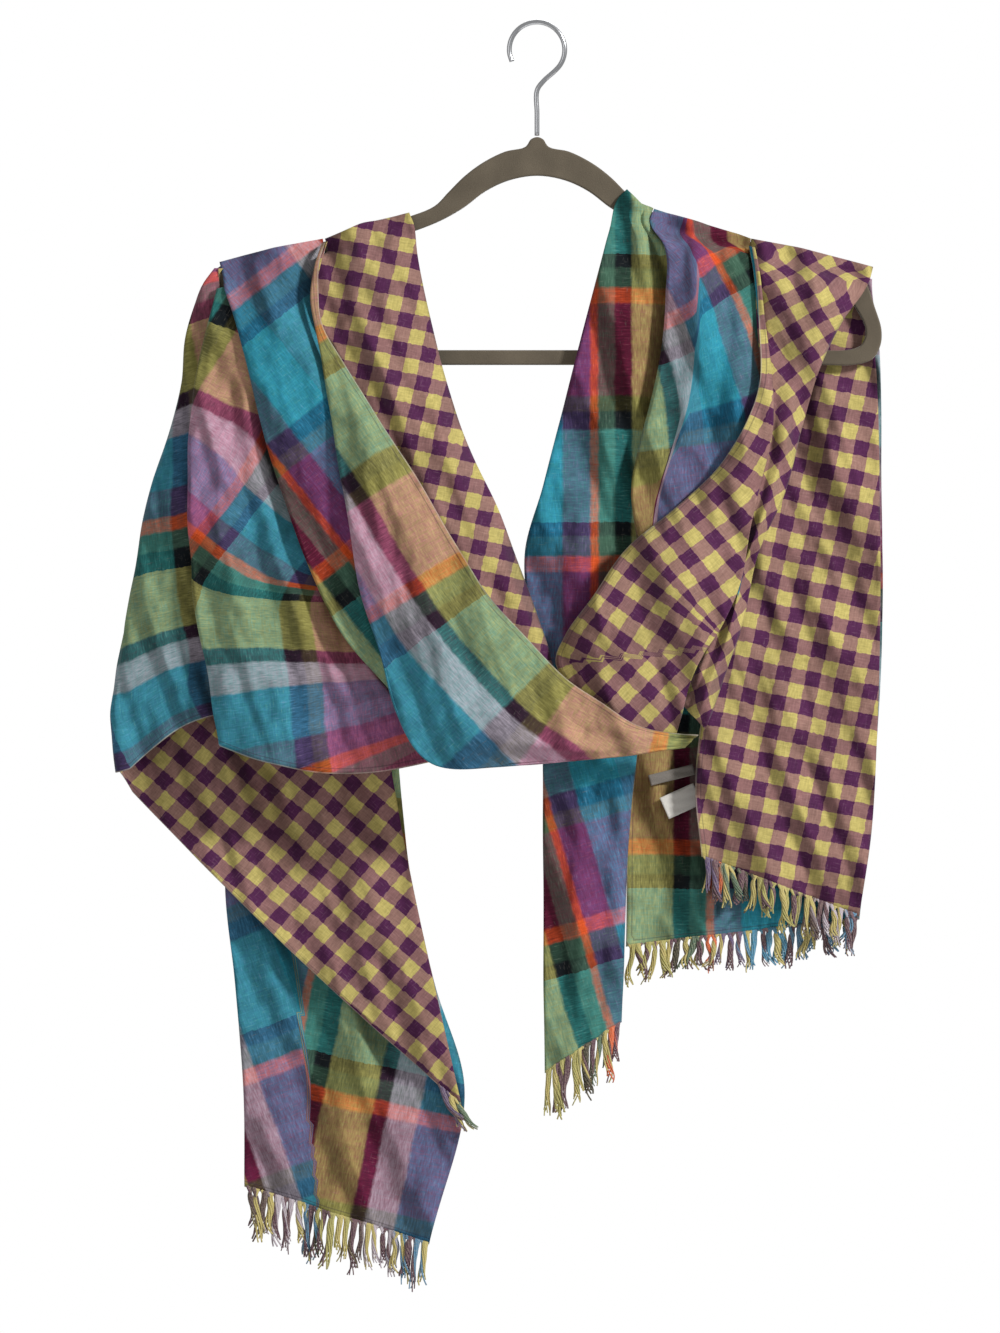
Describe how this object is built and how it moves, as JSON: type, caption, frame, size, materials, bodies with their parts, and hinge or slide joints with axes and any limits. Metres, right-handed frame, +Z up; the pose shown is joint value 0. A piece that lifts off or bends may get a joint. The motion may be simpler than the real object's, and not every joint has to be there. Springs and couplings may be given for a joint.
{
  "type": "scarf draped on a clothes hanger",
  "caption": "Long fringed double-faced cotton scarf, checked on both faces, wrapped and draped over a slim velvet clothes hanger with a steel hook.",
  "frame": {"origin": "top of the hook's inside, where the rail carries it", "axes": "+Z up; -Y towards the viewer of the front; +X to the viewer's right as the front is seen"},
  "size_m": [0.4997, 0.1014, 0.8343],
  "materials": {
    "hanger_velvet": "short dull grey-brown flock over a stiff moulded body",
    "hook_metal": "bright drawn wire",
    "plaid_cloth": "thin matt cotton, teal, purple, green and orange plaid on this face",
    "gingham_cloth": "thin matt cotton, yellow-green and plum gingham on this face",
    "fringe_thread": "loose cotton warp ends in twisted locks",
    "label_tape": "plain grey woven tape, blank",
    "label_paper": "plain white printed-label tape, blank"
  },
  "bodies": {
    "root": {"hanger_frame": "hanger_velvet", "hanger_hook": "hook_metal", "left_chest_pleat": "plaid_cloth", "left_front_pleat": "plaid_cloth", "front_swag": "plaid_cloth", "left_outer_fall": "plaid_cloth", "left_tail_under": "plaid_cloth", "right_neck_strand": "plaid_cloth", "right_shoulder_roll": "plaid_cloth", "right_neck_back": "plaid_cloth", "right_tail_under": "plaid_cloth", "left_neck_stretch": "gingham_cloth", "right_cowl": "gingham_cloth", "right_shoulder_fall": "gingham_cloth", "right_tail": "gingham_cloth", "fringe_left_tail": "fringe_thread", "fringe_left_corner": "fringe_thread", "fringe_centre_tail": "fringe_thread", "fringe_right_tail": "fringe_thread", "fringe_right_under": "fringe_thread", "label_woven": "label_tape", "label_care": "label_paper"}
  },
  "joints": []
}
